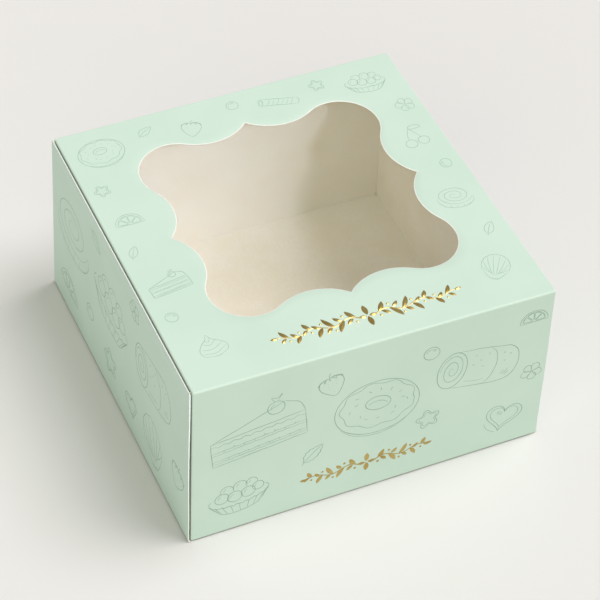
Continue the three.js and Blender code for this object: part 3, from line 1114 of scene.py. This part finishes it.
# What is printed where: the drawing, its middle and its width on the face in mm, and its turn in degrees
PRINTED: dict[Face, tuple[tuple[Callable[[], Sketch], float, float, float, float], ...]] = {
    Face.LID: (
        (doughnut, -63, 65, 21, 8), (mint_leaf, -41, 71, 9, 30), (strawberry, -21, 66, 12, -14),
        (currant, 1, 73, 6, 0), (wafer_roll, 21, 68, 19, -14), (star_biscuit, 41, 72, 8, 9),
        (tartlet, 62, 66, 20, -6), (blossom, 72, 46, 9, 14), (cherries, 66, 25, 14, 12),
        (currant, 72, 5, 6, 76), (cinnamon_roll, 66, -16, 17, -10), (mint_leaf, 71, -38, 9, 52),
        (madeleine, 63, -60, 16, -30),
        (star_biscuit, -71, 42, 8, 24), (lemon_slice, -67, 21, 13, 0), (mint_leaf, -72, 2, 8, 60),
        (cake_slice, -65, -20, 19, 6), (currant, -71, -39, 6, -48), (meringue, -62, -60, 15, 8),
    ),
    Face.FRONT: (
        (cake_slice, -50, 55, 44, 5), (strawberry, -19, 69, 15, 18), (doughnut, 2, 48, 38, -8),
        (mint_leaf, -26, 31, 13, 42), (currant, 25, 70, 8, -24), (swiss_roll, 47, 54, 40, -10),
        (lemon_slice, 71, 74, 13, 0), (star_biscuit, 26, 31, 12, 12), (tartlet, -58, 19, 28, 6),
        (heart_biscuit, 62, 18, 18, -12), (blossom, 73, 41, 10, 40),
    ),
    Face.LEFT: (
        (cinnamon_roll, -54, 54, 42, 6), (mint_leaf, -25, 75, 13, -30), (tartlet, -7, 52, 42, -6),
        (currant, -33, 26, 9, 20), (swiss_roll, 42, 55, 42, 8), (strawberry, 70, 28, 17, -14),
        (madeleine, 42, 19, 28, 14), (star_biscuit, -8, 19, 16, 10), (lemon_slice, -60, 17, 22, -8),
        (heart_biscuit, 17, 17, 14, 16), (blossom, 21, 76, 11, 24),
    ),
    Face.RIGHT: (
        (cinnamon_roll, -55, 52, 34, 4), (blossom, -28, 70, 11, 30), (madeleine, -8, 52, 30, -10),
        (mint_leaf, -32, 24, 12, -36), (cake_slice, 38, 52, 38, -4), (cherries, 66, 26, 21, 6),
        (star_biscuit, 66, 70, 13, 14), (doughnut, 8, 19, 22, 8), (heart_biscuit, -64, 16, 16, -14),
        (currant, 36, 20, 8, -12), (mint_leaf, 12, 76, 10, 20),
    ),
    Face.BACK: (
        (swiss_roll, -52, 51, 38, -12), (mint_leaf, -24, 68, 12, 26), (cinnamon_roll, 0, 48, 34, 6),
        (star_biscuit, -26, 26, 12, -10), (tartlet, 48, 54, 36, 6), (lemon_slice, -60, 17, 20, 10),
        (strawberry, 26, 22, 15, 16), (blossom, 0, 16, 11, 18), (finger_biscuit, 56, 20, 30, -12),
        (cherries, 24, 71, 13, 8),
    ),
}


def evenly(line: Array, spacing: float, closed: bool) -> Array:
    """The same line with its points an even distance apart, spacing at the most."""
    path = np.vstack([line, line[:1]]) if closed else line
    step = np.linalg.norm(np.diff(path, axis=0), axis=1)
    path = path[np.concatenate([[True], step > 1e-6])]
    length = np.concatenate([[0.0], np.cumsum(step[step > 1e-6])])
    at = np.linspace(0, length[-1], max(2, math.ceil(length[-1] / spacing)) + 1)
    even = np.stack([np.interp(at, length, places) for places in path.T], axis=1)
    return even[:-1] if closed else even


@dataclass
class Bars:
    """Narrow closed bars laid along lines on a face, which make up ink lines and stamped foil.

    The section is a row of (across, base, slope): each of its points lies across half widths aside
    of the line, and base + slope * half width over the board.
    """

    name: str
    face: Face
    warp: Warp
    section: tuple[Point, ...]
    points: list[Array] = field(default_factory=list)
    faces: list[list[int]] = field(default_factory=list)
    count: int = 0

    def add(self, line: Array, half: Array, closed: bool = False) -> None:
        """Lays a bar along a line.

        Args:
            line: places (n, 2) on the face, in mm.
            half: the bar's half width at each of them, in mm.
            closed: whether the end joins the start; if not, both ends are capped.
        """
        shape, half = np.array(self.section), half[:, None]
        way = np.roll(line, -1, axis=0) - np.roll(line, 1, axis=0) if closed else np.gradient(line, axis=0)
        way /= np.linalg.norm(way, axis=1, keepdims=True) + 1e-9
        aside = np.stack([way[:, 1], -way[:, 0]], axis=1)
        flat = line[:, None] + aside[:, None] * (half * shape[:, 0])[..., None]
        proud = shape[:, 1] + half * shape[:, 2]
        self.points.append(self.face.place(flat.reshape(-1, 2), proud.ravel(), self.warp.board))
        index = np.arange(proud.size).reshape(proud.shape) + self.count
        run = np.vstack([index, index[:1]]) if closed else index
        turn = np.roll(run, -1, axis=1)
        self.faces += np.stack([run[:-1], turn[:-1], turn[1:], run[1:]], axis=-1).reshape(-1, 4).tolist()
        if not closed:
            self.faces += [index[0, ::-1].tolist(), index[-1].tolist()]
        self.count += proud.size

    def build(self, material: Material) -> Object:
        """Makes the object, bowed with the board under it."""
        mesh = bpy.data.meshes.new(self.name)
        mesh.from_pydata(self.warp.move(np.concatenate(self.points)) * MM, [], self.faces)
        mesh.materials.append(material)
        return link(bpy.data.objects.new(self.name, mesh))


@dataclass
class LinePrint:
    """The drawings on one face: ink lines two hundredths of a millimetre thick."""

    face: Face
    warp: Warp
    outline: float = 0.3
    thick: float = 0.02
    spacing: float = 0.6
    waver: float = 0.09
    waver_way: Pair = (0.6, 0.8)
    waves: Pair = (2.6, 1.1)
    press: float = 0.1  # the share by which the line swells with the waver
    thinnest: float = 0.3  # the width of a stroke without weight, as a share of the outline's
    taper: float = 0.65  # the share by which an open stroke thins at its ends
    finest: float = 0.6  # strokes of less weight are left out of drawings smaller than plain_below
    plain_below: float = 16.0
    seed: int = 5

    def build(self, material: Material) -> Object:
        """Lays every stroke as a bar that thins towards its ends and wavers as a pen does.

        The waver is a sum of two sines along the stroke, aside of it, with drawn phases; the half
        width falls with the fourth power of the distance from the stroke's middle.

        Args:
            material: the ink.

        Returns:
            The print on the face.
        """
        ink = self.thick
        section = ((-1, -ink, 0), (-1, ink, 0), (1, ink, 0), (1, -ink, 0))
        bars = Bars(f"line_print_{self.face.name.lower()}", self.face, self.warp, section)
        draw = np.random.default_rng(self.seed)
        for motif, u, v, width, turn in PRINTED[self.face]:
            for line, weight, closed in motif().strokes:
                if weight < self.finest and width < self.plain_below:
                    continue
                path = evenly(width / 200 * line @ turned(turn) + (u, v), self.spacing, closed)
                phase = draw.uniform(0, 2 * math.pi, 2)
                share = np.linspace(0, 1, len(path))
                way = share * len(path) * self.spacing
                pull = np.sin(way / self.waves[0] + phase[0]) + 0.6 * np.sin(way / self.waves[1] + phase[1])
                heavy = self.thinnest + (1 - self.thinnest) * weight
                half = 0.5 * self.outline * heavy * (1 + self.press * pull)
                if not closed:
                    half = half * (1 - self.taper * (2 * share - 1) ** 4)
                    path = path + self.waver * pull[:, None] * np.array(self.waver_way)
                bars.add(path, half, closed)
        return bars.build(material)


@dataclass
class Garland:
    """A band of stamped gold: a wavy stem with leaves and berries, mirrored about a four-leaved flower.

    Each stroke is a chiselled ridge, so that its two flanks catch the light differently.
    """

    name: str
    face: Face
    warp: Warp
    middle: Pair
    reach: float
    height: float
    pitch: float = 4.9
    sway: float = 1.5
    sway_length: float = 15.6
    sway_start: float = 4.0
    calm: float = 0.35  # by what share the sway dies down towards the end
    fade: float = 0.25  # and by what share the leaves and berries shrink
    stem_gaps: Pair = (3.4, 2.6)  # how far the stem stays from the middle and from the end
    leaf_gaps: Pair = (5.0, 4.5)  # and the leaves
    long_turn: float = 58.0
    short_turn: float = 42.0
    leaf_half: float = 1.1
    stem_half: float = 0.3
    berry: float = 0.62
    berry_drop: float = 2.4
    last_leaf: float = 3.2
    slope: float = 0.38
    edge: float = 0.03
    flower_gap: float = 0.4
    flower_half: float = 1.15

    def leaf(self, root: Sequence[float], turn: float, length: float, half: float) -> tuple[Array, Array]:
        """A pointed leaf that bends a little as it goes.

        Args:
            root: where it starts.
            turn: its direction in degrees.
            length, half: its length and its greatest half width.

        Returns:
            Its middle line, and its half widths, which follow a sine raised to 0.8.
        """
        share = np.linspace(0, 1, 15)
        heading = np.radians(turn) + 0.5 * (share - 0.5) * math.copysign(1, turn)
        step = length / 14 * np.stack([np.cos(heading), np.sin(heading)], axis=1)
        line = np.array(root) + np.vstack([[0, 0], np.cumsum(step[:-1], axis=0)])
        return line, half * np.sin(math.pi * share) ** 0.8 + self.edge

    def stem(self, x: Array | float) -> Array:
        """The stem's height over the band's middle line: a sine that calms towards the end."""
        wave = np.sin(2 * math.pi * (x - self.sway_start) / self.sway_length)
        return self.sway * wave * (1 - self.calm * x / self.reach)

    def strokes(self) -> list[tuple[Array, Array]]:
        """The right-hand half of the band, as lines with their half widths; a berry's follow a circle."""
        xs = np.linspace(self.stem_gaps[0], self.reach - self.stem_gaps[1], 90)
        thin = self.stem_half * (1 - 0.45 * (xs - xs[0]) / (xs[-1] - xs[0]))
        made = [(np.stack([xs, self.stem(xs)], axis=1), thin)]
        tall, disc = self.height / 2, np.linspace(-1, 1, 11)
        for i, x in enumerate(np.arange(self.leaf_gaps[0], self.reach - self.leaf_gaps[1], self.pitch)):
            up, y, fade = 1 - 2 * (i % 2), self.stem(x), 1 - self.fade * x / self.reach
            half, berry = self.leaf_half * fade, self.berry * fade
            made.append(self.leaf((x, y), up * self.long_turn, (tall - up * y) * 1.1 * fade, half))
            made.append(self.leaf((x + 1.2, y), -up * self.short_turn, 0.72 * tall * fade, 0.8 * half))
            low = np.full(len(disc), y - up * self.berry_drop * fade)
            made.append((np.stack([x + 0.2 + berry * disc, low], axis=1), berry * np.sqrt(1.02 - disc**2)))
        end = self.reach - self.last_leaf
        made.append(self.leaf((end, self.stem(end)), 4, self.last_leaf, 0.7))
        made.append(self.leaf((0.6, 0.0), 3, 3.4, 0.8))
        return made

    def build(self, material: Material) -> Object:
        """Makes the band: both halves, and the flower's upper and lower leaf.

        Args:
            material: the foil.

        Returns:
            The band.
        """
        foot = (-1, -self.edge, 0), (1, -self.edge, 0)
        ridge = foot[0], (-1, self.edge, 0), (0, self.edge, self.slope), (1, self.edge, 0), foot[1]
        bars = Bars(self.name, self.face, self.warp, ridge)
        for line, half in self.strokes():
            for way in (-1, 1):
                bars.add(np.array(self.middle) + line * (way, 1), half)
        gap = self.flower_gap
        for way in (1, -1):
            line, half = self.leaf((0, way * gap), way * 90, self.height / 2 - gap, self.flower_half)
            bars.add(np.array(self.middle) + line * (0, 1), half)
        return bars.build(material)


@dataclass
class Studio:
    """The pale floor, the soft lights and the camera at the photograph's viewing angle."""

    floor_reach: float = 3000.0
    floor_drop: float = -0.3
    sky_colour: str = "#fffbf3"
    sky_power: float = 0.33
    snoot_aim: Point = (-71.0, 40.0, 60.0)
    snoot_distance: float = 700.0
    snoot_radius: float = 110.0
    eye: Point = (-332.7, -707.3, 809.3)
    target: Point = (0.0, -8.0, 41.7)
    roll_deg: float = -2.73
    lens: float = 153.33

    def camera(self) -> None:
        """A 36 mm sensor behind a long lens, turned about its axis by the photograph's slight roll."""
        data = bpy.data.cameras.new("photo_camera")
        data.lens, data.sensor_width = self.lens, 36.0
        data.clip_start, data.clip_end = 0.05, 50.0
        obj = link(bpy.data.objects.new("photo_camera", data))
        eye = Vector(self.eye) * MM
        forward = (Vector(self.target) * MM - eye).normalized()
        right = forward.cross(Vector((0, 0, 1))).normalized()
        roll = math.radians(self.roll_deg)
        across = right * math.cos(roll) + forward.cross(right) * math.sin(roll)
        turn = Matrix((across, across.cross(forward), -forward)).transposed()
        obj.matrix_world = Matrix.Translation(eye) @ turn.to_4x4()
        bpy.context.scene.camera = obj

    def floor(self) -> None:
        """A wide matt paper floor, far larger than the view, a hair below the box."""
        mesh = bpy.data.meshes.new("studio_floor")
        corners = [(x * self.floor_reach, y * self.floor_reach, self.floor_drop)
                   for x, y in ((-1, -1), (1, -1), (1, 1), (-1, 1))]
        mesh.from_pydata(np.array(corners) * MM, [], [(0, 1, 2, 3)])
        mesh.materials.append(FloorPaper().material())
        link(bpy.data.objects.new("studio_floor", mesh))

    def light(self, name: str, kind: str, azimuth: float, elevation: float, power: float,
              colour: str = "#ffffff", place: Point = (0, 0, 0), distance: float = 0.0,
              lit: Sequence[Object] = (), **settings: float) -> None:
        """Adds a soft light: a far one that is even over the whole floor, or a spot.

        Args:
            name: the light's name.
            kind: SUN or SPOT.
            azimuth: where it comes from, in degrees from the front (-Y) towards the right (+X).
            elevation: its height over the floor, in degrees.
            power: its energy; a sun of pi gives a facing white surface full white on display.
            colour: its sRGB hex colour.
            place, distance: what a spot looks at, and from how far, in mm.
            lit: the only things that it lights; none for everything.
            **settings: its other properties, such as how wide it looks.
        """
        data = bpy.data.lights.new(name, kind)
        data.energy, data.color = power, srgb(colour)[:3]
        for key, value in settings.items():
            setattr(data, key, value)
        obj = link(bpy.data.objects.new(name, data))
        a, e = math.radians(azimuth), math.radians(elevation)
        back = Vector((math.sin(a) * math.cos(e), -math.cos(a) * math.cos(e), math.sin(e)))
        spot = (Vector(place) + back * distance) * MM
        obj.matrix_world = Matrix.Translation(spot) @ back.to_track_quat("Z", "Y").to_matrix().to_4x4()
        if lit:
            group = bpy.data.collections.new("lit_by_" + name)
            for thing in lit:
                group.objects.link(thing)
            obj.light_linking.receiver_collection = group

    def build(self) -> None:
        """Sets the stage: floor, sky, lights, camera and a neutral display transform."""
        self.floor()
        self.camera()
        world = bpy.data.worlds.new("studio_sky")
        world.use_nodes = True
        sky = world.node_tree.nodes["Background"].inputs
        sky[0].default_value, sky[1].default_value = srgb(self.sky_colour), self.sky_power
        bpy.context.scene.world = world
        self.light("key_soft_box", "SUN", 74, 65, 0.6 * math.pi, angle=math.radians(38))
        self.light("front_fill", "SUN", -36, 35, 0.28 * math.pi, "#effae1", angle=math.radians(60))
        view = bpy.context.scene.view_settings
        view.view_transform, view.look, view.exposure, view.gamma = "Standard", "None", 0.0, 1.0

    def accents(self, tray: Object, bands: Sequence[Object]) -> None:
        """A snooted spot that sends the key light on through the window, and a card for the gold."""
        self.light("window_snoot", "SPOT", 11, 36, 45.0, "#e2eaff", self.snoot_aim, self.snoot_distance,
                   [tray], shadow_soft_size=self.snoot_radius * MM, spot_size=math.radians(14.5),
                   spot_blend=1.0)
        self.light("foil_card", "SUN", 155, 46, 0.4 * math.pi, lit=bands, angle=math.radians(30))


def main() -> None:
    """Builds the stage and the carton, one sub-assembly at a time."""
    studio = Studio()
    studio.build()
    warp = Warp()
    # the window's cut edge: the same die-cut fibre made whiter and without the upward shade, a painted
    # highlight
    bright_window_edge = CutEdge("window_edge_lit_copy", ("#f4f5ee", "#ffffff"), 1.0)
    skins = [finish.material() for finish in (CoatedBoard(), BareBoard(), CutEdge(), bright_window_edge)]
    tray = Tray(warp).build(skins)
    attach(tray, "base")
    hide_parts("tray")
    lid_part = Lid(warp)
    lid = lid_part.build(skins)
    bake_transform(lid)
    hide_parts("lid")
    flap = FrontFlap(warp).build(lid_part.border()[0], skins)
    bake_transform(flap)
    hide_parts("front_flap")
    film = WindowFilm(warp).build(ClearFilm().material())
    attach(film, "hinged_lid")
    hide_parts("window_film")
    ink, gold = LineInk().material(), GoldFoil().material()
    prints = {face: LinePrint(face, warp, 0.17 if face is Face.LID else 0.3).build(ink) for face in Face}
    bodies = {Face.LID: "hinged_lid", Face.FRONT: "flap"}
    for face, drawn in prints.items():
        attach(drawn, bodies.get(face, "base"))
    lid_gold = Garland("lid_gold_band", Face.LID, warp, (2.6, -66.5), 42, 12).build(gold)
    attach(lid_gold, "hinged_lid")
    front_gold = Garland("front_gold_band", Face.FRONT, warp, (-1.0, 15.8), 30, 10.6).build(gold)
    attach(front_gold, "flap")
    studio.accents(tray, (lid_gold, front_gold))
    for piece in (tray, lid, flap, film, *prints.values(), lid_gold, front_gold):
        LOG.info("%s: %d vertices, %d faces", piece.name, len(piece.data.vertices), len(piece.data.polygons))


if __name__ == "__main__":
    logging.basicConfig(level=logging.INFO, format="%(message)s")
    main()
